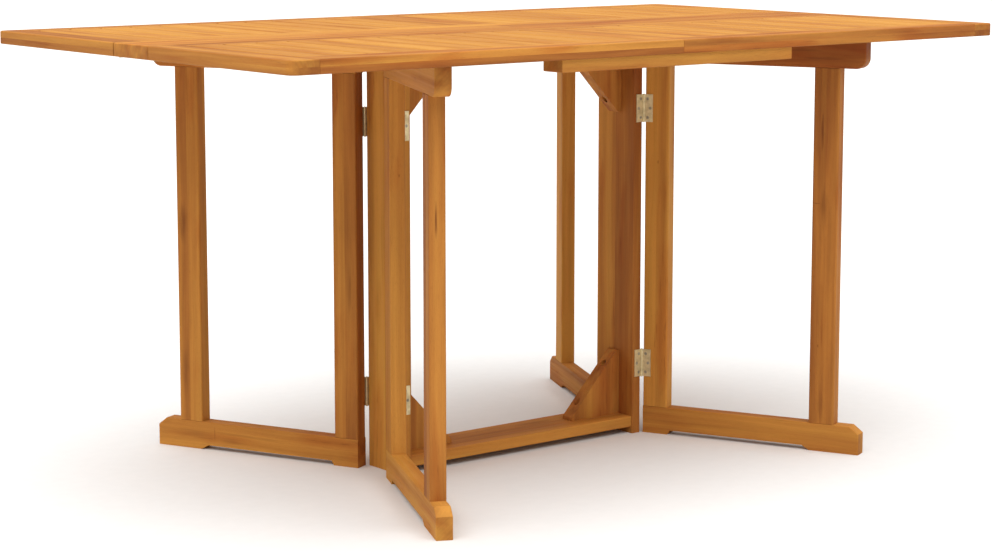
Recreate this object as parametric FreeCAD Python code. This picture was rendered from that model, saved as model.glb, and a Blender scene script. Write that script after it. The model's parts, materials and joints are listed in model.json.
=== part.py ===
import FreeCAD, Part
import math
import os

# Folding garden table: a narrow centre frame, four gates that swing out of it and two hinged leaves.
# X runs along the table, Y across it and Z up. The origin is on the floor under the middle of the top.
# Lengths are in millimetres and angles in degrees. Most pieces are modelled once, in the quarter
# where X and Y are positive, and mirrored into the other quarters.

# Opened table
table_length = 1500.0
table_width = 900.0
table_height = 750.0

# Table top
top_thickness = 22.0
top_corner_radius = 15.0
top_edge_rounding = 2.5
under_edge_rounding = 2.0
joint_rounding = 1.0
end_rail_width = 50.0
outer_rail_width = 50.0
inner_rail_width = 40.0
seam_rail_width = 50.0
centre_strip_width = 105.0
leaf_gap = 2.0
slat_width = 54.2
slat_thickness = 16.0
slat_gap_least = 4.0
slat_rounding = 1.5

# Woodworking joints
tongue_length = 8.0
tongue_thickness = 8.0
tenon_length = 22.0
tenon_thickness = 8.0
tenon_shoulder = 8.0
stub_tenon_length = 10.0
joint_clearance = 0.1

# Battens under the middle seam of the leaves
batten_width = 46.0
batten_thickness = 20.0
batten_inset = 6.0
batten_end_clearance = 1.5
batten_rounding = 2.0
batten_screw_shares = (-0.38, -0.12, 0.12, 0.38)

# Centre frame
board_spread = 537.0
board_thickness = 19.0
board_setback = 2.5
board_rounding = 2.0
stretcher_setback = 3.0
stretcher_rounding = 2.0
upper_stretcher_thickness = 22.0
lower_stretcher_thickness = 20.0
lower_stretcher_lift = 12.0
gusset_length = 113.0
gusset_height = 118.0
gusset_thickness = 25.0
gusset_blunt = 6.0
gusset_screw_reach = 89.0
gusset_screw_height = 95.0
gusset_screw_seat = 20.0
gusset_bore_radius = 5.5

# Gates
gate_opening_angle = 65.0
gate_end_inset = 24.0
gate_thickness = 27.0
gate_rest_gap = 0.3
post_width = 46.5
post_rounding = 3.0
outer_post_overhang = 46.5
gate_rail_rounding = 2.0
top_rail_height = 48.0
top_rail_corner_radius = 18.0
bottom_rail_height = 50.0
foot_recess = 8.0
inner_foot_length = 48.0
inner_foot_slope = 5.0
outer_foot_length = 91.0
outer_foot_slope = 14.0
foot_chamfer_run = 17.0
foot_chamfer_drop = 13.0

# Butt hinges
hinge_length = 50.0
plate_thickness = 1.5
gate_plate_width = 15.0
leaf_plate_width = 20.0
leaf_pin_drop = 0.3
knuckle_radius = 2.0
knuckle_clearance = 0.2
knuckle_end_gap = 0.3
middle_knuckle_share = 0.5
pin_radius = 1.0
pin_clearance = 0.05
pin_head_radius = 1.6
pin_head_thickness = 0.8
gate_hinge_rise = 105.0
gate_hinge_drop = 106.5
inner_leaf_hinge_place = 130.0
outer_leaf_hinge_inset = 36.0

# Screws
hinge_screw_length = 13.0
hinge_screw_head_radius = 2.9
hinge_screw_shank_radius = 1.5
hinge_screw_height_shares = (0.16, 0.5, 0.84)
hinge_screw_width_shares = (0.34, 0.66, 0.34)
frame_screw_length = 35.0
frame_screw_head_radius = 3.7
frame_screw_shank_radius = 1.9
screw_clearance = 0.05
screw_tip_share = 0.12

# How far a cutting shape reaches past the face that it opens
overrun = 5.0

# Levels and lines that several pieces share
half_length = table_length / 2
half_width = table_width / 2
top_underside = table_height - top_thickness
top_middle = table_height - top_thickness / 2
frame_end = half_length - end_rail_width
outer_rail_line = half_width - outer_rail_width
strip_edge = centre_strip_width / 2
leaf_edge = strip_edge + leaf_gap
inner_rail_line = leaf_edge + inner_rail_width
tongue_low = table_height - (slat_thickness + tongue_thickness) / 2
tongue_high = tongue_low + tongue_thickness

board_outside = board_spread / 2
board_inside = board_outside - board_thickness
board_edge = strip_edge - board_setback
stretcher_edge = board_edge - stretcher_setback
lower_stretcher_top = lower_stretcher_lift + lower_stretcher_thickness
upper_stretcher_underside = top_underside - upper_stretcher_thickness

batten_half_length = board_inside - batten_end_clearance
batten_outside = half_width - batten_inset
batten_underside = top_underside - batten_thickness
batten_screw_line = (outer_rail_line + batten_outside) / 2

knuckle_room = knuckle_radius + knuckle_clearance
gate_axis_x = board_outside + knuckle_room
gate_axis_y = board_edge + plate_thickness
gate_sine = math.sin(math.radians(gate_opening_angle))
gate_cosine = math.cos(math.radians(gate_opening_angle))
gate_reach = half_width - gate_end_inset - gate_axis_y + plate_thickness * gate_cosine
gate_start = gate_axis_x + knuckle_room
gate_end = gate_axis_x + gate_reach / gate_sine
gate_back = board_edge - gate_thickness
gate_middle = board_edge - gate_thickness / 2
gate_top = top_underside - gate_rest_gap
top_rail_underside = gate_top - top_rail_height
outer_post_end = gate_end - outer_post_overhang
gate_hinge_levels = (gate_hinge_rise, top_underside - gate_hinge_drop - hinge_length)

leaf_axis_y = strip_edge + leaf_gap / 2
leaf_axis_z = top_underside - leaf_pin_drop
leaf_hinge_places = (inner_leaf_hinge_place, half_length - outer_leaf_hinge_inset)

origin = FreeCAD.Vector(0, 0, 0)
along_x = FreeCAD.Vector(1, 0, 0)
along_y = FreeCAD.Vector(0, 1, 0)
along_z = FreeCAD.Vector(0, 0, 1)
x_sides = {"left": -1, "right": 1}
y_sides = {"front": -1, "back": 1}
nodes = {}


# Small helpers

def add(name, solids):
    nodes.setdefault(name, []).extend(solids)


def box(low_x, high_x, low_y, high_y, low_z, high_z):
    corner = FreeCAD.Vector(low_x, low_y, low_z)
    return Part.makeBox(high_x - low_x, high_y - low_y, high_z - low_z, corner)


def outline_face(points):
    corners = [FreeCAD.Vector(x, 0, z) for x, z in points]
    return Part.Face(Part.makePolygon(corners + corners[:1]))


def lies_at(value, place):
    return abs(value - place) < joint_clearance


def runs_along(edge, direction):
    chord = edge.Vertexes[-1].Point - edge.Vertexes[0].Point
    return lies_at(abs(chord.dot(direction)), edge.Length)


def round_over(shape, radius, wanted):
    return shape.makeFillet(radius, [edge for edge in shape.Edges if wanted(edge, edge.CenterOfMass)])


def moved(shape, x, y, z):
    result = shape.copy()
    result.translate(FreeCAD.Vector(x, y, z))
    return result


def turned(shape, direction, angle, centre=origin):
    result = shape.copy()
    result.rotate(centre, direction, angle)
    return result


def mirrored(shape, x_side, y_side):
    result = shape.copy()
    if x_side < 0:
        result = result.mirror(origin, along_x)
    if y_side < 0:
        result = result.mirror(origin, along_y)
    return result


def both_ways(shapes):
    """The shapes and their mirror images across the table."""
    return shapes + [mirrored(shape, 1, -1) for shape in shapes]


def cut_away(shape, cutters):
    return shape.cut(Part.makeCompound(cutters))


# Screws, modelled pointing down from the middle of the head's top

def screw_form(length, head_radius, shank_radius, margin):
    head_depth = head_radius - shank_radius
    outline = outline_face([
        (0, 0),
        (head_radius + margin, 0),
        (shank_radius + margin, -head_depth),
        (shank_radius + margin, length * screw_tip_share - length),
        (0, -length - margin),
    ])
    return outline.revolve(origin, along_z, 360)


def screw_hole(length, head_radius, shank_radius):
    mouth = Part.makeCylinder(head_radius + screw_clearance, overrun)
    return screw_form(length, head_radius, shank_radius, screw_clearance).fuse(mouth)


hinge_screw_sizes = (hinge_screw_length, hinge_screw_head_radius, hinge_screw_shank_radius)
hinge_screw = screw_form(*hinge_screw_sizes, 0)
hinge_screw_hole = screw_hole(*hinge_screw_sizes)
frame_screw_sizes = (frame_screw_length, frame_screw_head_radius, frame_screw_shank_radius)
frame_screw = screw_form(*frame_screw_sizes, 0)
frame_screw_hole = screw_hole(*frame_screw_sizes)


# Butt hinges, modelled with the pin along Z from the origin and the plate along X. The plate's outer
# face lies below the pin's axis by the given drop. The swinging plate has the middle knuckle, and the
# fixed plate the two others.

def knuckle_spans(swinging):
    low = hinge_length * (1 - middle_knuckle_share) / 2
    high = hinge_length - low
    half_gap = knuckle_end_gap / 2
    if swinging:
        return [(low + half_gap, high - half_gap)]
    return [(0, low - half_gap), (high + half_gap, hinge_length)]


def on_plate(shape, width, drop):
    """Copies of a screw or hole at the plate's three screw places, pointing into the wood."""
    sunk = turned(shape, along_x, -90)
    places = zip(hinge_screw_width_shares, hinge_screw_height_shares)
    return [moved(sunk, knuckle_room + width * across, -drop, hinge_length * up) for across, up in places]


def hinge_plate(width, drop, swinging):
    bottom = -drop - plate_thickness
    plate = box(knuckle_room, knuckle_room + width, bottom, -drop, 0, hinge_length)
    for low, high in knuckle_spans(swinging):
        plate = plate.fuse(box(0, knuckle_room, bottom, -drop, low, high))
        plate = plate.fuse(Part.makeCylinder(knuckle_radius, high - low, FreeCAD.Vector(0, 0, low)))
    bore = Part.makeCylinder(pin_radius + pin_clearance, hinge_length)
    return cut_away(plate.removeSplitter(), [bore] + on_plate(hinge_screw_hole, width, drop))


def hinge_pin():
    shank = Part.makeCylinder(pin_radius, hinge_length)
    low_head = Part.makeCylinder(pin_head_radius, pin_head_thickness, FreeCAD.Vector(0, 0, -pin_head_thickness))
    high_head = Part.makeCylinder(pin_head_radius, pin_head_thickness, FreeCAD.Vector(0, 0, hinge_length))
    return shank.fuse(low_head).fuse(high_head).removeSplitter()


def hinge_seat(width, drop):
    """Room for a hinge let into the wood: a groove for the knuckles and a recess for the plate."""
    end = pin_head_thickness + joint_clearance
    groove = Part.makeCylinder(knuckle_room, hinge_length + end + end, FreeCAD.Vector(0, 0, -end))
    plate_end = knuckle_room + width + joint_clearance
    bottom = -drop - plate_thickness
    recess = box(0, plate_end, bottom, overrun, -joint_clearance, hinge_length + joint_clearance)
    return groove.fuse(recess)


def fixed_side(shapes):
    """Hinge shapes of the swinging side, turned over to the other side of the pin."""
    return [mirrored(shape, -1, 1) for shape in shapes]


def at_gate_hinges(shapes):
    """Hinge shapes brought to the two hinges of the folded gate."""
    return [moved(shape, gate_axis_x, gate_axis_y, level) for level in gate_hinge_levels for shape in shapes]


def at_leaf_hinges(shapes):
    """Hinge shapes laid under the top, with the pin along the table and the swinging plate outwards."""
    lying = FreeCAD.Rotation(along_y, -along_z, -along_x, "XYZ")
    placed = []
    for place in leaf_hinge_places:
        corner = FreeCAD.Vector(place + hinge_length / 2, leaf_axis_y, leaf_axis_z)
        for shape in shapes:
            copy = shape.copy()
            copy.Placement = FreeCAD.Placement(corner, lying).multiply(copy.Placement)
            placed.append(copy)
    return placed


gate_hole_shapes = on_plate(hinge_screw_hole, gate_plate_width, 0)
gate_screw_shapes = on_plate(hinge_screw, gate_plate_width, 0)
leaf_hole_shapes = on_plate(hinge_screw_hole, leaf_plate_width, leaf_pin_drop)
leaf_hole_shapes.append(hinge_seat(leaf_plate_width, leaf_pin_drop))
leaf_screw_shapes = on_plate(hinge_screw, leaf_plate_width, leaf_pin_drop)


# Frame of a leaf's quarter: an end rail, an outer and an inner rail along the table, and a seam rail

def rail_tenon(low_y, high_y, margin):
    reach = tenon_length + margin
    half = tenon_thickness / 2 + margin
    low = low_y + tenon_shoulder - margin
    high = high_y - tenon_shoulder + margin
    return box(frame_end - reach, frame_end + reach, low, high, top_middle - half, top_middle + half)


def end_rail():
    rail = box(frame_end, half_length, leaf_edge, half_width, top_underside, table_height)
    rail = round_over(rail, top_corner_radius, lambda edge, middle: runs_along(edge, along_z)
                      and lies_at(middle.x, half_length) and lies_at(middle.y, half_width))
    for level, radius in ((table_height, top_edge_rounding), (top_underside, under_edge_rounding)):
        rail = round_over(rail, radius, lambda edge, middle: lies_at(middle.z, level)
                          and (lies_at(middle.x, half_length) or lies_at(middle.y, half_width)))
    rail = round_over(rail, joint_rounding, lambda edge, middle: lies_at(middle.x, frame_end)
                      and not lies_at(middle.y, leaf_edge))
    outer_mortise = rail_tenon(outer_rail_line, half_width, joint_clearance)
    inner_mortise = rail_tenon(leaf_edge, inner_rail_line, joint_clearance)
    return cut_away(rail, [outer_mortise, inner_mortise] + at_leaf_hinges(leaf_hole_shapes))


def outer_rail():
    rail = box(0, frame_end, outer_rail_line, half_width, top_underside, table_height)
    for level, radius in ((table_height, top_edge_rounding), (top_underside, under_edge_rounding)):
        rail = round_over(rail, radius, lambda edge, middle: lies_at(middle.z, level)
                          and lies_at(middle.y, half_width))
    for end in (0, frame_end):
        rail = round_over(rail, joint_rounding, lambda edge, middle: lies_at(middle.x, end)
                          and not lies_at(middle.y, outer_rail_line))
    rail = rail.fuse(rail_tenon(outer_rail_line, half_width, 0))
    groove = box(-overrun, frame_end, outer_rail_line - overrun, outer_rail_line + tongue_length,
                 tongue_low, tongue_high)
    return cut_away(rail, [groove] + batten_screws(frame_screw_hole))


def inner_rail():
    rail = box(0, frame_end, leaf_edge, inner_rail_line, top_underside, table_height)
    rail = round_over(rail, joint_rounding, lambda edge, middle: lies_at(middle.z, table_height)
                      and lies_at(middle.y, leaf_edge))
    rail = rail.fuse(rail_tenon(leaf_edge, inner_rail_line, 0))
    groove = box(-overrun, frame_end, inner_rail_line - tongue_length, inner_rail_line + overrun,
                 tongue_low, tongue_high)
    return cut_away(rail, [groove] + at_leaf_hinges(leaf_hole_shapes))


def cross_piece(low_x, high_x, low_z, rounding):
    """A piece across the leaf between the inner and the outer rail, with a tongue at both ends."""
    piece = box(low_x, high_x, inner_rail_line, outer_rail_line, low_z, table_height)
    piece = round_over(piece, rounding, lambda edge, middle: runs_along(edge, along_y)
                       and lies_at(middle.z, table_height))
    reach = tongue_length - joint_clearance
    tongue = box(low_x, high_x, inner_rail_line - reach, outer_rail_line + reach,
                 tongue_low + joint_clearance, tongue_high - joint_clearance)
    return piece.fuse(tongue)


def slats():
    room = frame_end - seam_rail_width
    count = int((room - slat_gap_least) / (slat_width + slat_gap_least))
    gap = (room - count * slat_width) / (count + 1)
    starts = [seam_rail_width + gap + index * (slat_width + gap) for index in range(count)]
    return [cross_piece(start, start + slat_width, table_height - slat_thickness, slat_rounding)
            for start in starts]


# Battens, which tie the two halves of a leaf together under the seam

def batten():
    bar = box(-batten_half_length, batten_half_length, batten_outside - batten_width, batten_outside,
              batten_underside, top_underside)
    bar = round_over(bar, batten_rounding, lambda edge, middle: lies_at(middle.z, batten_underside))
    return cut_away(bar, batten_screws(frame_screw_hole))


def batten_screws(shape):
    upward = turned(shape, along_x, 180)
    places = [share * (batten_half_length + batten_half_length) for share in batten_screw_shares]
    return [moved(upward, place, batten_screw_line, batten_underside) for place in places]


# Centre frame: the strip of the top, two end boards, two stretchers and four gussets

def centre_strip():
    strip = box(0, half_length, -strip_edge, strip_edge, top_underside, table_height)
    for level, radius in ((table_height, top_edge_rounding), (top_underside, under_edge_rounding)):
        strip = round_over(strip, radius, lambda edge, middle: lies_at(middle.z, level)
                           and lies_at(middle.x, half_length))
    for side in (-strip_edge, strip_edge):
        strip = round_over(strip, joint_rounding, lambda edge, middle: lies_at(middle.y, side)
                           and not lies_at(middle.x, 0))
    return cut_away(strip, both_ways(at_leaf_hinges(fixed_side(leaf_hole_shapes))))


def stub_tenon(low_z, high_z, margin):
    middle = (low_z + high_z) / 2
    half = tenon_thickness / 2 + margin
    reach = board_inside + stub_tenon_length + margin
    side = stretcher_edge - tenon_shoulder + margin
    return box(-reach, reach, -side, side, middle - half, middle + half)


def stretcher(low_z, high_z, screw_holes):
    board = box(-board_inside, board_inside, -stretcher_edge, stretcher_edge, low_z, high_z)
    board = round_over(board, stretcher_rounding, lambda edge, middle: runs_along(edge, along_x))
    return cut_away(board.fuse(stub_tenon(low_z, high_z, 0)), screw_holes)


def end_board():
    board = box(board_inside, board_outside, -board_edge, board_edge, 0, top_underside)
    board = round_over(board, board_rounding, lambda edge, middle: runs_along(edge, along_z))
    lower_mortise = stub_tenon(lower_stretcher_lift, lower_stretcher_top, joint_clearance)
    upper_mortise = stub_tenon(upper_stretcher_underside, top_underside, joint_clearance)
    hinge_holes = both_ways(at_gate_hinges(fixed_side(gate_hole_shapes)))
    gusset_holes = gusset_screws(frame_screw_hole, lower_stretcher_top, 1)
    gusset_holes += gusset_screws(frame_screw_hole, upper_stretcher_underside, -1)
    return cut_away(board, [lower_mortise, upper_mortise] + hinge_holes + gusset_holes)


def gusset_screws(shape, base, rise):
    """A screw into the end board and one into the stretcher, for the gusset that rises from the base."""
    sideways = turned(shape, along_y, -90)
    level = base + rise * gusset_screw_height
    into_board = moved(sideways, board_inside - gusset_screw_seat, 0, level)
    upright = shape if rise > 0 else turned(shape, along_x, 180)
    place = board_inside - gusset_screw_reach
    into_stretcher = moved(upright, place, 0, base + rise * gusset_screw_seat)
    return [into_board, into_stretcher]


def gusset(base, rise):
    tip = board_inside - gusset_length
    far = base + rise * gusset_height
    outline = outline_face([
        (board_inside, base),
        (tip, base),
        (tip, base + rise * gusset_blunt),
        (board_inside - gusset_blunt, far),
        (board_inside, far),
    ])
    block = outline.extrude(FreeCAD.Vector(0, gusset_thickness, 0))
    block = moved(block, 0, -gusset_thickness / 2, 0)
    bore = Part.makeCylinder(gusset_bore_radius, gusset_height)
    return cut_away(block, gusset_screws(frame_screw_hole, base, rise) + gusset_screws(bore, base, rise))


# Gates, modelled folded along the table and then opened about the hinge axis

def opened(shape):
    return turned(shape, along_z, gate_opening_angle, FreeCAD.Vector(gate_axis_x, gate_axis_y, 0))


def post_tenon(start, margin):
    half = tenon_thickness / 2 + margin
    reach = tenon_length + margin
    return box(start + tenon_shoulder - margin, start + post_width - tenon_shoulder + margin,
               gate_middle - half, gate_middle + half, bottom_rail_height - reach, top_rail_underside + reach)


def gate_post(start):
    post = box(start, start + post_width, gate_back, board_edge, bottom_rail_height, top_rail_underside)
    post = round_over(post, post_rounding, lambda edge, middle: runs_along(edge, along_z))
    return cut_away(post.fuse(post_tenon(start, 0)), at_gate_hinges(gate_hole_shapes))


def gate_mortises():
    return [post_tenon(start, joint_clearance) for start in (gate_start, outer_post_end - post_width)]


def gate_top_rail():
    rail = box(gate_start, gate_end, gate_back, board_edge, top_rail_underside, gate_top)
    rail = round_over(rail, top_rail_corner_radius, lambda edge, middle: lies_at(middle.x, gate_end)
                      and lies_at(middle.z, top_rail_underside))
    rail = round_over(rail, gate_rail_rounding, lambda edge, middle: runs_along(edge, along_x))
    return cut_away(rail, gate_mortises())


def gate_bottom_rail():
    rail = box(gate_start, gate_end, gate_back, board_edge, 0, bottom_rail_height)
    foot_start = gate_end - outer_foot_length
    recess_start = gate_start + inner_foot_length
    chamfer_bottom = bottom_rail_height - foot_chamfer_drop
    outline = outline_face([
        (gate_start, 0),
        (recess_start, 0),
        (recess_start + inner_foot_slope, foot_recess),
        (foot_start - outer_foot_slope, foot_recess),
        (foot_start, 0),
        (gate_end, 0),
        (gate_end, chamfer_bottom),
        (gate_end - foot_chamfer_run, bottom_rail_height),
        (gate_start, bottom_rail_height),
    ])
    rail = rail.common(outline.extrude(FreeCAD.Vector(0, board_edge, 0)))
    rail = round_over(rail, gate_rail_rounding, lambda edge, middle: not runs_along(edge, along_y)
                      and middle.x > gate_start + joint_clearance
                      and (middle.z > chamfer_bottom or lies_at(middle.x, gate_end)))
    return cut_away(rail, gate_mortises())


# The assembly

def add_leaves():
    quarter_pieces = {"end_rail": [end_rail()], "outer_rail": [outer_rail()], "slats": slats()}
    paired_pieces = {
        "inner_rails": inner_rail(),
        "seam_rails": cross_piece(0, seam_rail_width, top_underside, joint_rounding),
    }
    swinging_plate = hinge_plate(leaf_plate_width, leaf_pin_drop, True)
    for y_name, y_side in y_sides.items():
        for x_name, x_side in x_sides.items():
            for piece, solids in quarter_pieces.items():
                name = y_name + "_" + x_name + "_" + piece
                add(name, [mirrored(solid, x_side, y_side) for solid in solids])
            for piece, solid in paired_pieces.items():
                add(y_name + "_" + piece, [mirrored(solid, x_side, y_side)])
            plates = at_leaf_hinges([swinging_plate])
            add(y_name + "_leaf_hinge_plates", [mirrored(plate, x_side, y_side) for plate in plates])
            screws = at_leaf_hinges(leaf_screw_shapes)
            add(y_name + "_leaf_screws", [mirrored(screw, x_side, y_side) for screw in screws])
        add(y_name + "_batten", [mirrored(batten(), 1, y_side)])
        add(y_name + "_leaf_screws", [mirrored(screw, 1, y_side) for screw in batten_screws(frame_screw)])


def add_centre_frame():
    for x_name, x_side in x_sides.items():
        add("centre_strip_" + x_name, [mirrored(centre_strip(), x_side, 1)])
        add(x_name + "_end_board", [mirrored(end_board(), x_side, 1)])
    stretchers = {
        "lower_stretcher": (lower_stretcher_lift, lower_stretcher_top, lower_stretcher_top, 1),
        "upper_stretcher": (upper_stretcher_underside, top_underside, upper_stretcher_underside, -1),
    }
    for name, (low_z, high_z, base, rise) in stretchers.items():
        holes = gusset_screws(frame_screw_hole, base, rise)
        holes += [mirrored(hole, -1, 1) for hole in holes]
        add(name, [stretcher(low_z, high_z, holes)])
        for x_side in x_sides.values():
            add("corner_gussets", [mirrored(gusset(base, rise), x_side, 1)])
            screws = gusset_screws(frame_screw, base, rise)
            add("gusset_screws", [mirrored(screw, x_side, 1) for screw in screws])


def add_fixed_hinge_pieces():
    gate_plate = hinge_plate(gate_plate_width, 0, False)
    leaf_plate = hinge_plate(leaf_plate_width, leaf_pin_drop, False)
    pieces = {
        "gate_hinge_fixed_plates": at_gate_hinges(fixed_side([gate_plate])),
        "leaf_hinge_fixed_plates": at_leaf_hinges(fixed_side([leaf_plate])),
        "hinge_pins": at_gate_hinges([hinge_pin()]) + at_leaf_hinges([hinge_pin()]),
        "centre_hinge_screws": at_gate_hinges(fixed_side(gate_screw_shapes))
        + at_leaf_hinges(fixed_side(leaf_screw_shapes)),
    }
    for name, solids in pieces.items():
        for x_side in x_sides.values():
            for y_side in y_sides.values():
                add(name, [mirrored(solid, x_side, y_side) for solid in solids])


def add_gates():
    pieces = {
        "inner_post": [gate_post(gate_start)],
        "outer_post": [gate_post(outer_post_end - post_width)],
        "top_rail": [gate_top_rail()],
        "bottom_rail": [gate_bottom_rail()],
        "hinge_plates": at_gate_hinges([hinge_plate(gate_plate_width, 0, True)]),
        "hinge_screws": at_gate_hinges(gate_screw_shapes),
    }
    for y_name, y_side in y_sides.items():
        for x_name, x_side in x_sides.items():
            for piece, solids in pieces.items():
                name = y_name + "_" + x_name + "_gate_" + piece
                add(name, [mirrored(opened(solid), x_side, y_side) for solid in solids])


add_centre_frame()
add_leaves()
add_gates()
add_fixed_hinge_pieces()

os.makedirs("parts", exist_ok=True)
for name, solids in nodes.items():
    Part.makeCompound(solids).exportStep("parts/" + name + ".step")
print(len(nodes), "nodes,", sum(len(solids) for solids in nodes.values()), "solids")
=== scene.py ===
# %% [markdown]
# # A folding garden table
# The table is made of oiled hardwood: a narrow centre frame, four gates that swing out of it and two
# hinged leaves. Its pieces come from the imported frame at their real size, so this lesson is about the
# finish: wood with its grain along each piece, zinc hinges, and screws with a cross recess.

# %% Load the frame
import itertools
import json
import math

import bmesh
import bpy
from mathutils import Matrix, Vector


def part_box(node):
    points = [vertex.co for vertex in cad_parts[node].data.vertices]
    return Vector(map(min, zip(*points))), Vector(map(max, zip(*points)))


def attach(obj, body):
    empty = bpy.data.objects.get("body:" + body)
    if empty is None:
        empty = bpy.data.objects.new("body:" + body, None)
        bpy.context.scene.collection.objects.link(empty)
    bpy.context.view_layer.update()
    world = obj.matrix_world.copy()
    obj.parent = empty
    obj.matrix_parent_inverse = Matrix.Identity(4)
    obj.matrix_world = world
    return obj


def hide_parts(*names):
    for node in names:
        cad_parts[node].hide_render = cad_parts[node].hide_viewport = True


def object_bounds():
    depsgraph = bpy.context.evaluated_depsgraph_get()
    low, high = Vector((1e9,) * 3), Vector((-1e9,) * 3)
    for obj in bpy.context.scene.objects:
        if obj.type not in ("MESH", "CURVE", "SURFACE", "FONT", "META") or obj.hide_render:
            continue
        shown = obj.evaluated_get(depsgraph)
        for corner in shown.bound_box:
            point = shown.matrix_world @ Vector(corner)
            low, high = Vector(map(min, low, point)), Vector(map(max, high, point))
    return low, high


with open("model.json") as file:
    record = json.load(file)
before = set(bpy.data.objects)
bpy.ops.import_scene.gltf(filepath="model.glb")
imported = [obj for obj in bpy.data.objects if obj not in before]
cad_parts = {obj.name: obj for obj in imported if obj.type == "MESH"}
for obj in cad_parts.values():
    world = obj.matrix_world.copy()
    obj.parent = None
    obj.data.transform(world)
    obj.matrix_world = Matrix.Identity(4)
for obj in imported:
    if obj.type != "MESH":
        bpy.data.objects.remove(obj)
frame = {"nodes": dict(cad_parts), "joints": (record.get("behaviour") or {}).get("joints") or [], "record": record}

nodes = frame["nodes"]
cad_low, cad_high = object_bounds()
print("loaded", len(nodes), "nodes, from", tuple(cad_low), "to", tuple(cad_high))

# %% [markdown]
# ## Camera
# The picture was taken from the front left corner, about a metre above the floor, with a long lens. A camera
# is an object like any other: its yaw turns about the upright axis, its pitch tips it down, and a small
# shift moves the picture without tipping the camera further.

# %% Camera
picture_width = 992
focal_length_in_pixels = 2418.0
camera_place = (-2.6263, -3.2962, 0.9959)
camera_yaw = 38.249
camera_pitch = 7.862
camera_shift = -0.06
farthest_view = 200

camera_data = bpy.data.cameras.new("camera")
camera_data.lens = focal_length_in_pixels / picture_width * camera_data.sensor_width
camera_data.shift_y = camera_shift
camera_data.clip_end = farthest_view
camera = bpy.data.objects.new("camera", camera_data)
camera.location = camera_place
camera.rotation_euler = (math.radians(90 - camera_pitch), 0, math.radians(-camera_yaw))
bpy.context.scene.collection.objects.link(camera)
bpy.context.scene.camera = camera
print("camera lens", round(camera_data.lens, 2), "mm")

# %% [markdown]
# ## Helpers for shader nodes
# A node tree is a list of nodes and of links between their sockets. Small helpers keep the recipes below
# readable. The first feeds a socket with a link or with a plain value. The others each add one node: a sum, a
# change of range, a noise whose scale differs along and across the grain, or a mix of colours.

# %% Helpers for shader nodes
single_results = ("DOT_PRODUCT", "LENGTH", "DISTANCE")
mix_factor = 0
mix_first_colour = 6
mix_second_colour = 7
mix_colour_result = 2


def feed(tree, socket, value):
    if isinstance(value, bpy.types.NodeSocket):
        tree.links.new(value, socket)
    else:
        socket.default_value = value


def calculate(tree, operation, *values):
    node = tree.nodes.new("ShaderNodeMath")
    node.operation = operation
    for socket, value in zip(node.inputs, values):
        feed(tree, socket, value)
    return node.outputs["Value"]


def calculate_vector(tree, operation, *values):
    node = tree.nodes.new("ShaderNodeVectorMath")
    node.operation = operation
    for socket, value in zip(node.inputs, values):
        feed(tree, socket, value)
    return node.outputs["Value" if operation in single_results else "Vector"]


def rescale(tree, value, low, high, new_low=0.0, new_high=1.0):
    node = tree.nodes.new("ShaderNodeMapRange")
    node.interpolation_type = "SMOOTHSTEP"
    feed(tree, node.inputs["Value"], value)
    feed(tree, node.inputs["From Min"], low)
    feed(tree, node.inputs["From Max"], high)
    feed(tree, node.inputs["To Min"], new_low)
    feed(tree, node.inputs["To Max"], new_high)
    return node.outputs["Result"]


def grainy_noise(tree, place, repeats, detail, roughness=0.5):
    """A noise with its own number of repeats per metre along each axis of the place."""
    node = tree.nodes.new("ShaderNodeTexNoise")
    feed(tree, node.inputs["Vector"], calculate_vector(tree, "MULTIPLY", place, repeats))
    node.inputs["Scale"].default_value = 1.0
    node.inputs["Detail"].default_value = detail
    node.inputs["Roughness"].default_value = roughness
    return node.outputs["Fac"]


def mix_colours(tree, factor, first, second, blend="MIX"):
    node = tree.nodes.new("ShaderNodeMix")
    node.data_type = "RGBA"
    node.blend_type = blend
    feed(tree, node.inputs[mix_factor], factor)
    feed(tree, node.inputs[mix_first_colour], first)
    feed(tree, node.inputs[mix_second_colour], second)
    return node.outputs[mix_colour_result]


def colour_ramp(tree, factor, stops):
    node = tree.nodes.new("ShaderNodeValToRGB")
    while len(node.color_ramp.elements) < len(stops):
        node.color_ramp.elements.new(0.5)
    for element, (place, colour) in zip(node.color_ramp.elements, stops):
        element.position = place
        element.color = (*colour, 1)
    feed(tree, node.inputs["Fac"], factor)
    return node.outputs["Color"]


def add_bump(tree, surface, height, strength, distance):
    node = tree.nodes.new("ShaderNodeBump")
    node.inputs["Strength"].default_value = strength
    node.inputs["Distance"].default_value = distance
    feed(tree, node.inputs["Height"], height)
    feed(tree, surface.inputs["Normal"], node.outputs["Normal"])


print("helpers are ready")

# %% [markdown]
# ## Helpers for groups
# A recipe that several materials share is a group: a small node tree with named sockets. It is made once, and
# each material places it with its own values.

# %% Helpers for groups
socket_kinds = {"value": "NodeSocketFloat", "vector": "NodeSocketVector", "colour": "NodeSocketColor"}


def new_group(name, inputs, outputs):
    tree = bpy.data.node_groups.new(name, "ShaderNodeTree")
    for socket_name, kind in inputs.items():
        tree.interface.new_socket(name=socket_name, in_out="INPUT", socket_type=socket_kinds[kind])
    for socket_name, kind in outputs.items():
        tree.interface.new_socket(name=socket_name, in_out="OUTPUT", socket_type=socket_kinds[kind])
    start = tree.nodes.new("NodeGroupInput")
    end = tree.nodes.new("NodeGroupOutput")
    return tree, start.outputs, end.inputs


def place_group(tree, group, **values):
    """A group in a material, with its inputs named in small letters."""
    node = tree.nodes.new("ShaderNodeGroup")
    node.node_tree = group
    for name, value in values.items():
        feed(tree, node.inputs[name.replace("_", " ").capitalize()], value)
    return node.outputs


print("a group's sockets hold a", ", a ".join(socket_kinds))

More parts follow.
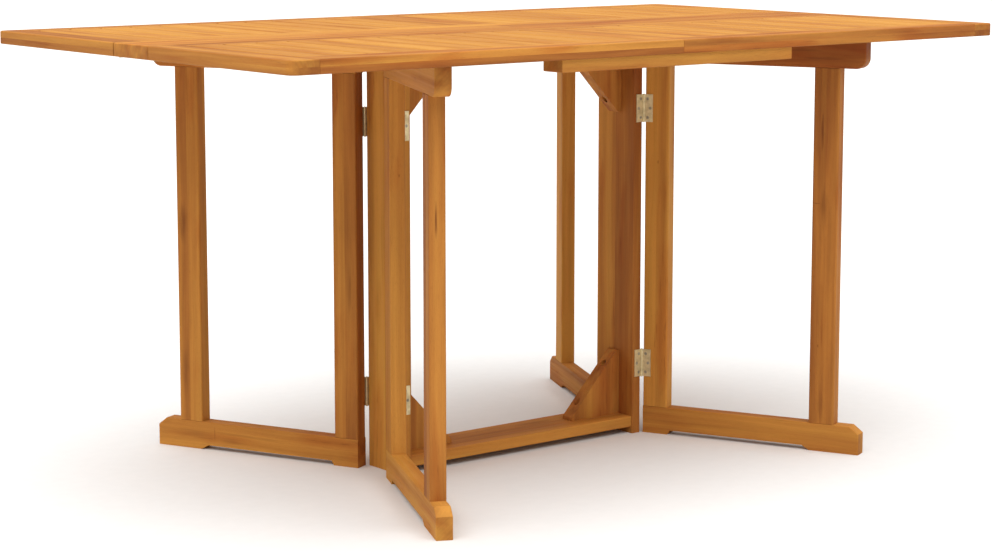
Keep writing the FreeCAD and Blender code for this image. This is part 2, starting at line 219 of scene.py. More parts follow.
# %% [markdown]
# ## Staves
# Wide pieces are glued up from staves, strips of wood that lie side by side and run the whole length of the
# piece. A stave's number picks a random shade and a random stretch of the wood figure, so neighbours differ.
# It also picks how far off the pith was, the middle of the tree, because the growth rings curve about it.

# %% Staves
figure_spread = (9.0, 9.0, 9.0)
pith_spread = (0.0, 0.24, 0.24)
nearest_pith = (0.0, 0.03, 0.03)
across_grain = (0.0, 1.0, 1.0)

staves, given, made = new_group(
    "Staves",
    {"Place": "vector", "Width": "value", "Seed": "value"},
    {"Shifted": "vector", "Chance": "value", "Row": "value", "Ring": "value"},
)
parts = staves.nodes.new("ShaderNodeSeparateXYZ")
feed(staves, parts.inputs["Vector"], given["Place"])
row = calculate(staves, "FLOOR", calculate(staves, "DIVIDE", parts.outputs["Y"], given["Width"]))
number = staves.nodes.new("ShaderNodeCombineXYZ")
feed(staves, number.inputs["Y"], row)
feed(staves, number.inputs["Z"], given["Seed"])
stave_noise = staves.nodes.new("ShaderNodeTexWhiteNoise")
stave_noise.noise_dimensions = "3D"
feed(staves, stave_noise.inputs["Vector"], number.outputs["Vector"])
shift = calculate_vector(staves, "MULTIPLY", stave_noise.outputs["Color"], figure_spread)
to_pith = calculate_vector(
    staves, "MULTIPLY_ADD", stave_noise.outputs["Color"], pith_spread, given["Place"])
to_pith = calculate_vector(staves, "ADD", to_pith, nearest_pith)
to_pith = calculate_vector(staves, "MULTIPLY", to_pith, across_grain)
feed(staves, made["Shifted"], calculate_vector(staves, "ADD", given["Place"], shift))
feed(staves, made["Chance"], stave_noise.outputs["Value"])
feed(staves, made["Row"], row)
feed(staves, made["Ring"], calculate_vector(staves, "LENGTH", to_pith))
print("the staves take", len(staves.nodes), "shader nodes")

# %% [markdown]
# ## Wood figure
# Oiled hardwood has wide bands of lighter and darker wood, flames, narrow growth lines, fine fibres and short
# open pores, all drawn out along the grain. Noise that is stretched along one axis gives each of them. Its
# repeats per metre are given along, across and through the piece, then its detail and its roughness. A slow
# warp keeps the lines from being ruler-straight, and the growth lines follow the distance to the pith.

# %% Wood figure
warp_noise = ((1.6, 7.0, 7.0), 2.0)
warp_reach = 0.03
line_noise = ((1.6, 230.0, 0.0), 3.0, 0.6)
figure_noises = {
    "bands": ((1.1, 38.0, 38.0), 2.0),
    "flames": ((3.6, 62.0, 62.0), 3.0, 0.55),
    "fibres": ((14.0, 900.0, 900.0), 2.0),
    "pores": ((110.0, 2400.0, 2400.0), 1.0),
    "clouds": ((4.5, 24.0, 24.0), 2.0),
    "flecks": ((24.0, 330.0, 330.0), 2.0),
}
middle = 0.5

hardwood, given, made = new_group(
    "Hardwood",
    {"Place": "vector", "Ring": "value", "Chance": "value", "End": "value", "Mark": "value",
     "Tone": "value", "Redness": "value", "Contrast": "value"},
    {"Colour": "colour", "Roughness": "value", "Height": "value"},
)
warp = grainy_noise(hardwood, given["Place"], *warp_noise)
bend = calculate(hardwood, "MULTIPLY", calculate(hardwood, "SUBTRACT", warp, middle), warp_reach)
bent = hardwood.nodes.new("ShaderNodeCombineXYZ")
feed(hardwood, bent.inputs["Y"], bend)
feed(hardwood, bent.inputs["Z"], bend)
place = calculate_vector(hardwood, "ADD", given["Place"], bent.outputs["Vector"])
figure = {name: grainy_noise(hardwood, place, *noise) for name, noise in figure_noises.items()}

along = hardwood.nodes.new("ShaderNodeSeparateXYZ")
feed(hardwood, along.inputs["Vector"], given["Place"])
ring_place = hardwood.nodes.new("ShaderNodeCombineXYZ")
feed(hardwood, ring_place.inputs["X"], along.outputs["X"])
feed(hardwood, ring_place.inputs["Y"], calculate(hardwood, "ADD", given["Ring"], bend))
figure["lines"] = grainy_noise(hardwood, ring_place.outputs["Vector"], *line_noise)
print("the wood figure has", ", ".join(figure))

# %% [markdown]
# ## Wood colour
# The figure's noises add up to one shade, which runs from red brown to gold. Redness and cloudy blotches tint
# it. Streaks, pores, flecks and marks darken it, each by its own share. End grain is darker too, because it
# soaks up more oil. Each mask says between which two values of its noise it rises from nothing to full.

# %% Wood colour
golden = (0.560, 0.262, 0.048)
orange_brown = (0.425, 0.173, 0.033)
red_brown = (0.280, 0.094, 0.021)
dark_streak = (0.130, 0.034, 0.010)
red_tint = (0.98, 0.80, 0.86, 1)
blotch_tint = (0.80, 0.56, 0.50, 1)
shade_shares = {"bands": 1.6, "flames": 0.9, "lines": 0.42, "fibres": 0.3}
chance_share = 0.45
blotch_share = 0.6
dark_shares = {"streaks": 0.36, "pores": 0.22, "flecks": 0.42}
red_flames = (0.36, 0.60)
fleck_clouds = (0.52, 0.66)
masks = {
    "streaks": ("flames", 0.64, 0.80),
    "pores": ("pores", 0.60, 0.72),
    "flecks": ("flecks", 0.58, 0.72),
    "blotches": ("clouds", 0.50, 0.70),
}
end_ring_lines = (0.30, 0.66)
end_ring_darkness = (0.12, 0.36)


def add_share(total, part, share):
    """The total plus a share, times the contrast, of how far the part is from its middle."""
    centred = calculate(hardwood, "SUBTRACT", part, middle)
    return calculate(
        hardwood, "MULTIPLY_ADD", centred, calculate(hardwood, "MULTIPLY", given["Contrast"], share), total)


mask = {name: rescale(hardwood, figure[noise], low, high) for name, (noise, low, high) in masks.items()}
in_clouds = rescale(hardwood, figure["clouds"], *fleck_clouds)
mask["flecks"] = calculate(hardwood, "MULTIPLY", mask["flecks"], in_clouds)

shade = calculate(hardwood, "ADD", given["Tone"], middle)
for name, share in shade_shares.items():
    shade = add_share(shade, figure[name], share)
shade = add_share(shade, given["Chance"], chance_share)
colour = colour_ramp(hardwood, shade, [(0.0, red_brown), (middle, orange_brown), (1.0, golden)])

redness = calculate(hardwood, "MULTIPLY", given["Redness"], rescale(hardwood, figure["flames"], *red_flames))
colour = mix_colours(hardwood, redness, colour, red_tint, "MULTIPLY")
blotching = calculate(hardwood, "MULTIPLY", given["Contrast"], blotch_share)
blotching = calculate(hardwood, "MULTIPLY", mask["blotches"], blotching)
colour = mix_colours(hardwood, blotching, colour, blotch_tint, "MULTIPLY")

end_rings = rescale(hardwood, figure["lines"], *end_ring_lines, *end_ring_darkness)
darkening = calculate(hardwood, "MULTIPLY", given["End"], end_rings)
darkening = calculate(hardwood, "MAXIMUM", darkening, given["Mark"])
for name, share in dark_shares.items():
    darkening = calculate(hardwood, "MAXIMUM", darkening, calculate(hardwood, "MULTIPLY", mask[name], share))
feed(hardwood, made["Colour"], mix_colours(hardwood, darkening, colour, (*dark_streak, 1)))
print("the shade adds up", len(shade_shares) + 1, "parts, and", len(dark_shares) + 2, "things darken it")

# %% [markdown]
# ## Wood surface
# Oil leaves a silky surface that is a little smoother in the lighter growth lines. Fibres and growth lines
# stand up by a hair, and the open pores are sunk.

# %% Wood surface
rough_lines = (0.25, 0.75)
wood_roughness = (0.66, 0.52)
fibre_height_share = 0.5
line_height_share = 0.5

feed(hardwood, made["Roughness"], rescale(hardwood, figure["lines"], *rough_lines, *wood_roughness))
height = calculate(hardwood, "MULTIPLY", figure["lines"], line_height_share)
height = calculate(hardwood, "MULTIPLY_ADD", figure["fibres"], fibre_height_share, height)
feed(hardwood, made["Height"], calculate(hardwood, "SUBTRACT", height, mask["pores"]))
print("the hardwood takes", len(hardwood.nodes), "shader nodes")

# %% [markdown]
# ## Dark marks
# A few pieces have a small knot or a dark mineral streak. A mark is a long ellipsoid in the piece's own
# coordinates, with its rim frayed by noise.

# %% Dark marks
fray_noise = ((30.0, 300.0, 300.0), 3.0)
fray_share = 0.9
mark_core = 0.45
mark_rim = 1.55

dark_mark, given, made = new_group(
    "Dark mark",
    {"Place": "vector", "Centre": "vector", "Size": "vector", "Depth": "value"},
    {"Mark": "value"},
)
offset = calculate_vector(dark_mark, "SUBTRACT", given["Place"], given["Centre"])
offset = calculate_vector(dark_mark, "DIVIDE", offset, given["Size"])
distance = calculate_vector(dark_mark, "LENGTH", offset)
fray = grainy_noise(dark_mark, given["Place"], *fray_noise)
distance = calculate(dark_mark, "MULTIPLY_ADD", fray, fray_share, distance)
feed(dark_mark, made["Mark"], rescale(dark_mark, distance, mark_core, mark_rim, given["Depth"], 0.0))
print("a dark mark takes", len(dark_mark.nodes), "shader nodes")

# %% [markdown]
# ## Grain
# A joiner lays the grain along each piece, because wood is strongest that way. Three axes describe a piece:
# the first along its grain, the second across it, where the staves are counted, and the third through it.

# %% Grain
def grain_axes(grain, across):
    grain, across = Vector(grain), Vector(across)
    return Matrix((grain, across, grain.cross(across)))


along_table = grain_axes((1, 0, 0), (0, 1, 0))
across_table = grain_axes((0, 1, 0), (-1, 0, 0))
along_on_edge = grain_axes((1, 0, 0), (0, 0, 1))
across_on_edge = grain_axes((0, 1, 0), (0, 0, 1))
upright = grain_axes((0, 0, 1), (0, 1, 0))
print("upright grain runs along", tuple(upright[0]))

# %% [markdown]
# ## Oiled wood
# Every wooden piece gets the same recipe with its own values. Its grain runs along its length, so the Object
# coordinates are turned until the first axis lies along the grain and moved until the piece starts at zero.
# A small margin keeps its outer faces inside their stave, since a face just on the limit could take its
# neighbour's shade. The surface normal, along the same axis, says where the end grain shows.

# %% Oiled wood
stave_margin = Vector((0.0004, 0.0004, 0.0004))
end_grain_facing = (0.62, 0.97)
wood_specular = 0.08
wood_bump = 0.35
wood_bump_height = 0.0003


def new_material(name):
    material = bpy.data.materials.new(name)
    material.use_nodes = True
    tree = material.node_tree
    return material, tree, tree.nodes["Principled BSDF"]


def dress(node_name, material):
    nodes[node_name].data.materials.clear()
    nodes[node_name].data.materials.append(material)


def strongest_mark(tree, place, size, marks):
    mark = 0.0
    for centre_shares, mark_size, depth in marks:
        centre = [share * extent for share, extent in zip(centre_shares, size)]
        spot = place_group(tree, dark_mark, place=place, centre=centre, size=mark_size, depth=depth)
        mark = calculate(tree, "MAXIMUM", spot["Mark"], mark)
    return mark


def oiled_wood(node_name, axes, seed, tone, redness, stave_count=1, row_step=0.0, contrast=1.0, marks=()):
    turned = [axes @ vertex.co for vertex in nodes[node_name].data.vertices]
    low = Vector([min(point[axis] for point in turned) for axis in range(3)]) - stave_margin
    high = Vector([max(point[axis] for point in turned) for axis in range(3)]) + stave_margin
    size = high - low
    material, tree, surface = new_material("wood_" + node_name)
    coordinates = tree.nodes.new("ShaderNodeTexCoord")
    mapping = tree.nodes.new("ShaderNodeMapping")
    mapping.inputs["Rotation"].default_value = axes.to_euler()
    mapping.inputs["Location"].default_value = -low
    feed(tree, mapping.inputs["Vector"], coordinates.outputs["Object"])
    place = mapping.outputs["Vector"]
    facing = calculate_vector(tree, "DOT_PRODUCT", coordinates.outputs["Normal"], tuple(axes[0]))
    end = rescale(tree, calculate(tree, "ABSOLUTE", facing), *end_grain_facing)
    planks = place_group(tree, staves, place=place, width=size.y / stave_count, seed=float(seed))
    mark = strongest_mark(tree, place, size, marks)
    if row_step:
        tone = calculate(tree, "MULTIPLY_ADD", planks["Row"], row_step, tone)
    wood = place_group(
        tree, hardwood, place=planks["Shifted"], ring=planks["Ring"], chance=planks["Chance"],
        end=end, mark=mark, tone=tone, redness=redness, contrast=contrast)
    feed(tree, surface.inputs["Base Color"], wood["Colour"])
    feed(tree, surface.inputs["Roughness"], wood["Roughness"])
    surface.inputs["Specular IOR Level"].default_value = wood_specular
    add_bump(tree, surface, wood["Height"], wood_bump, wood_bump_height)
    dress(node_name, material)


def wooden_pieces():
    return len([material for material in bpy.data.materials if material.name.startswith("wood_")])


seeds = itertools.count(1)
print("the oiled wood keeps a margin of", round(stave_margin.x, 6), "m around a piece")

# %% [markdown]
# ## The top
# Each quarter of the top is a framed panel: rails around a row of slats that run across the table. The rails
# at the ends and along the front are two staves on edge, and a step in tone makes the upper one lighter: painted
# light on the top and upper edge, and painted shade on the lower edge. A slat is a stave with the gap beside it.

# %% The top
slat_count = 11
slat_gap = 0.00448
# On the end rails and the front outer rail, the step in tone paints light on the upper stave and shade on the
# lower one.
end_rail_look_painted_light = {"stave_count": 2, "tone": -0.32, "row_step": 0.36, "redness": 0.1}
outer_rail_looks = {
    "front": {"stave_count": 2, "tone": -0.66, "row_step": 0.62, "redness": 0.5, "contrast": 1.2},
    "back": {"tone": 0.05, "redness": 0.2},
}
slat_look = {"tone": 0.22, "redness": 0.0, "contrast": 0.62}
inner_rail_look = {"tone": 0.14, "redness": 0.1}
seam_rail_look = {"stave_count": 2, "tone": 0.14, "redness": 0.1}
batten_look = {"tone": 0.15, "redness": 0.1}

for y_name in ("front", "back"):
    for x_name in ("left", "right"):
        quarter = y_name + "_" + x_name + "_"
        slat_low, slat_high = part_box(quarter + "slats")
        run = slat_high.x - slat_low.x
        slat_cells = slat_count * run / (run + slat_gap)
        oiled_wood(quarter + "end_rail", across_on_edge, next(seeds), **end_rail_look_painted_light)
        oiled_wood(quarter + "outer_rail", along_on_edge, next(seeds), **outer_rail_looks[y_name])
        oiled_wood(quarter + "slats", across_table, next(seeds), stave_count=slat_cells, **slat_look)
    oiled_wood(y_name + "_inner_rails", along_table, next(seeds), **inner_rail_look)
    oiled_wood(y_name + "_seam_rails", across_table, next(seeds), **seam_rail_look)
    oiled_wood(y_name + "_batten", along_table, next(seeds), **batten_look)
print("the leaves are done:", wooden_pieces(), "wooden pieces")

# %% [markdown]
# ## The centre frame
# Two upright boards carry the fixed strip of the top, with stretchers between them and gussets in the
# corners. A mark is given with its place as shares of the piece's length, width and thickness, its size
# in metres along the same axes, and how dark it is.

# %% The centre frame
frame_look = {"tone": -0.05, "redness": 0.5}
board_redness = 0.35
board_looks = {
    "left_end_board": {"stave_count": 2, "tone": 0.30, "row_step": 0.1},
    "right_end_board": {"stave_count": 2, "tone": -0.32, "row_step": 0.82},
}
frame_marks = {
    "lower_stretcher": [
        ((0.20, 0.40, 1.0), (0.032, 0.009, 0.020), 0.80),
        ((0.64, 0.70, 1.0), (0.050, 0.012, 0.020), 0.35),
    ],
}

for name in ("centre_strip_left", "centre_strip_right", "lower_stretcher", "upper_stretcher"):
    oiled_wood(name, along_table, next(seeds), marks=frame_marks.get(name, ()), **frame_look)
for name, look in board_looks.items():
    oiled_wood(name, upright, next(seeds), redness=board_redness, **look)
oiled_wood("corner_gussets", upright, next(seeds), **frame_look)
print("the centre frame is done:", wooden_pieces(), "wooden pieces")

# %% [markdown]
# ## Looks of the gates
# The posts of a glued-up table differ in shade, and some have knots and streaks that catch the eye. They are
# given piece by piece, in the same way as the marks above.

# %% Looks of the gates
gate_redness = 0.3
bottom_rail_look = {"tone": 0.12}
gate_looks = {
    "back_left": {
        "top_rail": {"tone": -0.1, "redness": 0.4},
        "inner_post": {"tone": -0.38, "row_step": 0.45},
        "outer_post": {"tone": 0.16, "row_step": -0.50},
    },
    "front_left": {
        "top_rail": {"tone": -0.05},
        "inner_post": {"tone": 0.15},
        "outer_post": {"tone": -0.35, "row_step": 0.1},
    },
    "back_right": {
        "top_rail": {"tone": -0.1, "redness": 0.4},
        "inner_post": {"tone": 0.25, "row_step": 0.1},
        "outer_post": {"tone": 0.55, "row_step": 0.1},
    },
    "front_right": {
        "top_rail": {"tone": -0.5, "redness": 0.7},
        "inner_post": {"tone": 0.25, "row_step": 0.1},
        "outer_post": {"tone": -0.45, "row_step": 0.25},
    },
}
gate_marks = {
    "front_right_gate_outer_post": [
        ((0.82, 0.36, 0.5), (0.160, 0.014, 0.060), 0.26),
        ((0.80, 0.36, 0.5), (0.055, 0.005, 0.060), 0.85),
        ((0.61, 0.47, 0.5), (0.050, 0.009, 0.060), 0.50),
        ((0.24, 0.33, 0.5), (0.004, 0.002, 0.060), 0.60),
        ((0.09, 0.45, 0.5), (0.050, 0.006, 0.060), 0.40),
        ((0.615, 0.14, 0.5), (0.0013, 0.014, 0.060), 0.70),
    ],
    "front_right_gate_inner_post": [((0.70, 0.55, 0.5), (0.005, 0.002, 0.060), 0.60)],
    "front_left_gate_outer_post": [((0.68, 1.0, 0.42), (0.036, 0.030, 0.0026), 0.85)],
    "front_left_gate_inner_post": [((0.73, 1.0, 0.60), (0.004, 0.020, 0.0018), 0.65)],
    "back_left_gate_outer_post": [
        ((0.56, 0.70, 0.5), (0.045, 0.011, 0.060), 0.65),
        ((0.17, 0.70, 0.5), (0.070, 0.011, 0.060), 0.45),
    ],
    "back_left_gate_inner_post": [((0.42, 0.30, 0.5), (0.050, 0.005, 0.060), 0.40)],
    "back_left_gate_bottom_rail": [
        ((0.71, 0.60, 0.5), (0.0013, 0.016, 0.060), 0.70),
        ((0.80, 0.55, 0.5), (0.060, 0.012, 0.060), 0.30),
        ((0.62, 0.40, 0.5), (0.030, 0.008, 0.060), 0.35),
    ],
    "front_right_gate_top_rail": [
        ((0.80, 0.35, 0.5), (0.060, 0.004, 0.060), 0.60),
        ((0.72, 0.62, 0.5), (0.045, 0.003, 0.060), 0.45),
    ],
}
print("marks on", len(gate_marks), "pieces of the gates:", sum(len(marks) for marks in gate_marks.values()))

# %% [markdown]
# ## The four gates
# The gates stand open, so their rails lie at an angle to the table. The joint's range in the record gives
# that angle, and the grain of the rails follows it. The posts' grain is upright, and each post is two staves.

# %% The four gates
first_gate_seed = 29
post_staves = 2
gate_seeds = itertools.count(first_gate_seed)

for joint in frame["joints"]:
    gate = joint["child"]
    if not gate.endswith("_gate"):
        continue
    rail_low, rail_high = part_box(gate + "_bottom_rail")
    centre = (rail_low + rail_high) / 2
    outward = Vector((math.copysign(1, centre.x), math.copysign(1, centre.y), 0))
    opening = math.radians(joint["range_deg"][1])
    along_gate = Vector((outward.x * math.cos(opening), outward.y * math.sin(opening), 0))
    rail_axes = grain_axes(along_gate, (0, 0, 1))
    post_axes = grain_axes((0, 0, 1), along_gate)
    looks = {"bottom_rail": bottom_rail_look, **gate_looks[gate.removesuffix("_gate")]}
    for piece in ("top_rail", "bottom_rail", "inner_post", "outer_post"):
        name = gate + "_" + piece
        is_post = piece.endswith("post")
        axes = post_axes if is_post else rail_axes
        look = {"redness": gate_redness, "stave_count": post_staves if is_post else 1, **looks[piece]}
        oiled_wood(name, axes, next(gate_seeds), marks=gate_marks.get(name, ()), **look)
print("the gates are done:", wooden_pieces(), "wooden pieces")

# %% [markdown]
# ## Plated steel
# Hinges and screws are stamped or rolled steel with a thin coat of zinc, which turns cloudy outdoors and
# takes fine scratches. All of them share this tarnish, and each metal has its own bright and dull colour.

# %% Plated steel
cloud_noise = ((90.0, 90.0, 90.0), 4.0, 0.6)
scratch_noise = ((300.0, 2400.0, 900.0), 2.0)
dull_clouds = (0.35, 0.7)
rough_clouds = (0.3, 0.7)
added_roughness = 0.2
steel_metallic = 0.85
steel_bump = 0.2
steel_bump_height = 0.0001

tarnish, given, made = new_group(
    "Tarnish",
    {"Place": "vector", "Bright": "colour", "Dull": "colour", "Least roughness": "value"},
    {"Colour": "colour", "Roughness": "value", "Scratches": "value"},
)
clouds = grainy_noise(tarnish, given["Place"], *cloud_noise)
dulling = rescale(tarnish, clouds, *dull_clouds)
most_roughness = calculate(tarnish, "ADD", given["Least roughness"], added_roughness)
roughness = rescale(tarnish, clouds, *rough_clouds, given["Least roughness"], most_roughness)
feed(tarnish, made["Colour"], mix_colours(tarnish, dulling, given["Bright"], given["Dull"]))
feed(tarnish, made["Roughness"], roughness)
feed(tarnish, made["Scratches"], grainy_noise(tarnish, given["Place"], *scratch_noise))


def plated_steel(name, bright, dull, least_roughness):
    material, tree, surface = new_material(name)
    place = tree.nodes.new("ShaderNodeTexCoord").outputs["Object"]
    finish = place_group(
        tree, tarnish, place=place, bright=(*bright, 1), dull=(*dull, 1), least_roughness=least_roughness)
    feed(tree, surface.inputs["Base Color"], finish["Colour"])
    feed(tree, surface.inputs["Roughness"], finish["Roughness"])
    surface.inputs["Metallic"].default_value = steel_metallic
    add_bump(tree, surface, finish["Scratches"], steel_bump, steel_bump_height)
    return material


print("the tarnish takes", len(tarnish.nodes), "shader nodes")

# %% [markdown]
# ## Zinc hinges
# The butt hinges have a yellowish zinc finish. The hinges under the leaves are duller, and their darker zinc is
# painted shade from the leaves over them.

# %% Zinc hinges
clear_zinc = (0.72, 0.60, 0.35)
dull_zinc = (0.57, 0.465, 0.27)
# Painted shade: the hinges under the leaves get a darker copy of the zinc.
shaded_zinc = (0.44, 0.36, 0.20)
darker_shaded_zinc = (0.24, 0.18, 0.10)
hinge_roughness = 0.38
dulled_roughness = 0.46

hinge_zinc = plated_steel("hinge_zinc", clear_zinc, dull_zinc, hinge_roughness)
shaded_dull_zinc = plated_steel("shaded_dull_hinge_zinc", shaded_zinc, darker_shaded_zinc, dulled_roughness)
hinge_nodes = [name for name in nodes if name.endswith("plates") or name == "hinge_pins"]
for name in hinge_nodes:
    dress(name, shaded_dull_zinc if "leaf" in name else hinge_zinc)
print("plated", len(hinge_nodes), "nodes of hinges")

# %% [markdown]
# ## Places of the screws
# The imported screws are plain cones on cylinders. Such screws have a cross recess for the driver, so each
# group of them is replaced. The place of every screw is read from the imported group: its tip is the point
# furthest from the middle, and its head's rim is furthest from the tip.

# %% Places of the screws
same_point = 1e-6
rim_share = 0.995


def islands(shape):
    """The points of each loose piece of a shape."""
    left = set(shape.verts)
    while left:
        island = set()
        border = {left.pop()}
        while border:
            vertex = border.pop()
            island.add(vertex)
            border |= {edge.other_vert(vertex) for edge in vertex.link_edges} - island
        left -= island
        yield [vertex.co.copy() for vertex in island]


def screw_places(node_name):
    copy = bmesh.new()
    copy.from_mesh(nodes[node_name].data)
    bmesh.ops.remove_doubles(copy, verts=copy.verts, dist=same_point)
    places = []
    for points in islands(copy):
        middle_point = sum(points, Vector()) / len(points)
        tip = max(points, key=lambda point: (point - middle_point).length)
        reach = max((point - tip).length for point in points)
        rim = [point for point in points if (point - tip).length > rim_share * reach]
        head = sum(rim, Vector()) / len(rim)
        places.append((head, tip, max((point - head).length for point in rim)))
    copy.free()
    return sorted(places, key=lambda place: tuple(place[0]))


screw_groups = {name: screw_places(name) for name in sorted(nodes) if name.endswith("screws")}
print("found", sum(len(places) for places in screw_groups.values()), "screws in", len(screw_groups), "groups")

# %% [markdown]
# ## Shape of a screw
# A countersunk screw has a flat head, a cone under it, a shank and a tip. A punch drives the cross into the
# head, with walls that lean inwards. Here a ring of edges grows downwards step by step, and the cross is
# joined to the head's rim and sunk in the same way. All its sizes are shares of the head's radius, or of the
# length for the tip.

# %% Shape of a screw
head_segments = 24
shank_share = 0.52
tip_share = 0.12
weld_share = 0.01
recess_arm_share = 0.55
recess_width_share = 0.15
recess_depth_share = 0.42
recess_floor_share = 0.55


def of_kind(items, kind):
    return [item for item in items if isinstance(item, kind)]


def sink(shape, edges, scale, drop):
    """A new ring of points and edges, grown from the given edges, scaled about the axis and moved down."""
    grown = bmesh.ops.extrude_edge_only(shape, edges=edges)["geom"]
    ring = of_kind(grown, bmesh.types.BMVert)
    bmesh.ops.scale(shape, vec=(scale, scale, 1), verts=ring)
    bmesh.ops.translate(shape, vec=(0, 0, -drop), verts=ring)
    return ring, of_kind(grown, bmesh.types.BMEdge)


def cross_outline(shape, arm, width):
    one_arm = ((arm, -width, 0), (arm, width, 0), (width, width, 0))
    corners = []
    for quarter_turn in range(4):
        turn = Matrix.Rotation(quarter_turn * math.pi / 2, 3, "Z")
        corners += [turn @ Vector(corner) for corner in one_arm]
    points = [shape.verts.new(corner) for corner in corners]
    edges = [shape.edges.new((points[index - 1], points[index])) for index in range(len(points))]
    split = bmesh.ops.subdivide_edges(shape, edges=edges, cuts=1)
    return of_kind(split["geom"], bmesh.types.BMEdge)


def screw_mesh(radius, length):
    """A countersunk screw that points down from the middle of its head's top."""
    shape = bmesh.new()
    bmesh.ops.create_circle(shape, segments=head_segments, radius=radius)
    rim_edges = list(shape.edges)
    shank = radius * shank_share
    edges = rim_edges
    last_radius = radius
    last_depth = 0.0
    for step_radius, depth in ((shank, radius - shank), (shank, length - length * tip_share), (0.0, length)):
        ring, edges = sink(shape, edges, step_radius / last_radius, depth - last_depth)
        last_radius = step_radius
        last_depth = depth
    bmesh.ops.remove_doubles(shape, verts=ring, dist=radius * weld_share)
    cross_edges = cross_outline(shape, radius * recess_arm_share, radius * recess_width_share)
    bmesh.ops.bridge_loops(shape, edges=rim_edges + cross_edges)
    ring, floor_edges = sink(shape, cross_edges, recess_floor_share, radius * recess_depth_share)
    bmesh.ops.edgeloop_fill(shape, edges=floor_edges)
    bmesh.ops.recalc_face_normals(shape, faces=shape.faces)
    mesh = bpy.data.meshes.new("screw")
    shape.to_mesh(mesh)
    shape.free()
    return mesh


print("a screw's head has", head_segments, "sides")

# %% [markdown]
# ## Screws in their holes
# The crosses of driven screws point anywhere, so each one is turned on from the last by the golden angle,
# which never comes round to the same turn. The screws deep in the gussets are near black: painted shade of
# their deep holes.

# %% Screws in their holes
# The screws' steel is darker than the hinges' zinc: partly its own colour, partly painted shade of the cross
# recess, so each head reads as a dark dot.
grey_steel = (0.48, 0.42, 0.31)
dark_steel = (0.34, 0.29, 0.21)
# The sunk screws' two near-black colours are painted shade of the deep holes in the gussets.
shaded_steel = (0.10, 0.085, 0.06)
darker_shaded_steel = (0.05, 0.036, 0.024)
screw_roughness = 0.42
sunk_screw_roughness = 0.55
golden_angle = math.radians(137.5)

screw_zinc = plated_steel("screw_zinc", grey_steel, dark_steel, screw_roughness)
shaded_sunk_screw_steel = plated_steel("shaded_sunk_screw_steel", shaded_steel, darker_shaded_steel, sunk_screw_roughness)
body_of_node = {}
for body, members in frame["record"]["behaviour"]["bodies"].items():
    body_of_node.update(dict.fromkeys(members, body))


def driven_screws(name, places):
    group = bmesh.new()
    for index, (head, tip, radius) in enumerate(places):
        mesh = screw_mesh(radius, (tip - head).length)
        before = len(group.verts)
        group.from_mesh(mesh)
        group.verts.ensure_lookup_table()
        turn = (head - tip).to_track_quat("Z", "Y").to_matrix().to_4x4()
        stand = Matrix.Translation(head) @ turn @ Matrix.Rotation(index * golden_angle, 4, "Z")
        bmesh.ops.transform(group, matrix=stand, verts=group.verts[before:])
        bpy.data.meshes.remove(mesh)
    mesh = bpy.data.meshes.new(name)
    group.to_mesh(mesh)
    group.free()
    return bpy.data.objects.new(name, mesh)


for node_name, places in screw_groups.items():
    screws = driven_screws(node_name + "_driven", places)
    screws.data.materials.append(shaded_sunk_screw_steel if node_name == "gusset_screws" else screw_zinc)
    bpy.context.scene.collection.objects.link(screws)
    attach(screws, body_of_node[node_name])
    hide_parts(node_name)
    print(node_name, len(places), "screws")

# %% [markdown]
# ## Floor
# The table stands on a plain pale floor. It can be seen only from above, so that the table's underside can be
# looked at from below.

# %% Floor
floor_half_width = 60.0
floor_noise = ((40.0, 40.0, 40.0), 3.0)
darker_floor = (0.74, 0.74, 0.73, 1)
lighter_floor = (0.78, 0.78, 0.77, 1)
floor_roughness = 0.9

floor_shape = bmesh.new()
bmesh.ops.create_grid(floor_shape, x_segments=1, y_segments=1, size=floor_half_width)
floor_mesh = bpy.data.meshes.new("floor")
floor_shape.to_mesh(floor_mesh)
floor_shape.free()
floor = bpy.data.objects.new("floor", floor_mesh)
floor.location.z = cad_low.z
bpy.context.scene.collection.objects.link(floor)

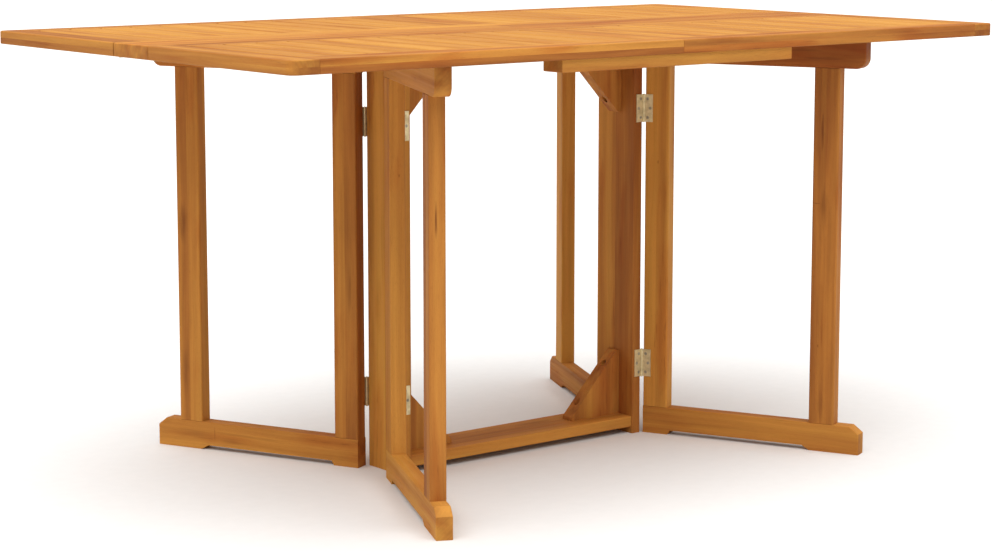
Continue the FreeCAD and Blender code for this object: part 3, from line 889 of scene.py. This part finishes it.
floor_material, floor_tree, floor_surface = new_material("pale_floor")
floor_place = floor_tree.nodes.new("ShaderNodeTexCoord").outputs["Object"]
floor_grain = grainy_noise(floor_tree, floor_place, *floor_noise)
floor_colour = mix_colours(floor_tree, floor_grain, darker_floor, lighter_floor)
feed(floor_tree, floor_surface.inputs["Base Color"], floor_colour)
floor_surface.inputs["Roughness"].default_value = floor_roughness
from_below = floor_tree.nodes.new("ShaderNodeNewGeometry").outputs["Backfacing"]
clear = floor_tree.nodes.new("ShaderNodeBsdfTransparent").outputs["BSDF"]
one_sided = floor_tree.nodes.new("ShaderNodeMixShader")
for socket, value in zip(one_sided.inputs, (from_below, floor_surface.outputs["BSDF"], clear)):
    feed(floor_tree, socket, value)
feed(floor_tree, floor_tree.nodes["Material Output"].inputs["Surface"], one_sided.outputs["Shader"])
floor_mesh.materials.append(floor_material)
print("the floor lies at", floor.location.z)

# %% [markdown]
# ## Light
# Soft light comes from all around, as in a studio, with more of it from above: a sun as wide as a large lamp
# close by. The camera sees a white backdrop, while the light that reaches the table from the sides is weaker.

# %% Light
sky_strength = 0.52
backdrop_strength = 1.0
white = (1, 1, 1, 1)
sun_strength = 4.15
sun_width = 90
sun_azimuth = -42
sun_elevation = 75

world = bpy.data.worlds.new("studio")
world.use_nodes = True
world_tree = world.node_tree
background = world_tree.nodes["Background"]
seen = world_tree.nodes.new("ShaderNodeLightPath").outputs["Is Camera Ray"]
strength = calculate(world_tree, "MULTIPLY_ADD", seen, backdrop_strength - sky_strength, sky_strength)
background.inputs["Color"].default_value = white
feed(world_tree, background.inputs["Strength"], strength)
bpy.context.scene.world = world

sun_data = bpy.data.lights.new("key", "SUN")
sun_data.energy = sun_strength
sun_data.angle = math.radians(sun_width)
sun = bpy.data.objects.new("key", sun_data)
sun.rotation_euler = (math.radians(90 - sun_elevation), 0, math.radians(sun_azimuth))
bpy.context.scene.collection.objects.link(sun)
bpy.context.scene.view_settings.view_transform = "Standard"
print("the sun stands", sun_elevation, "degrees high")
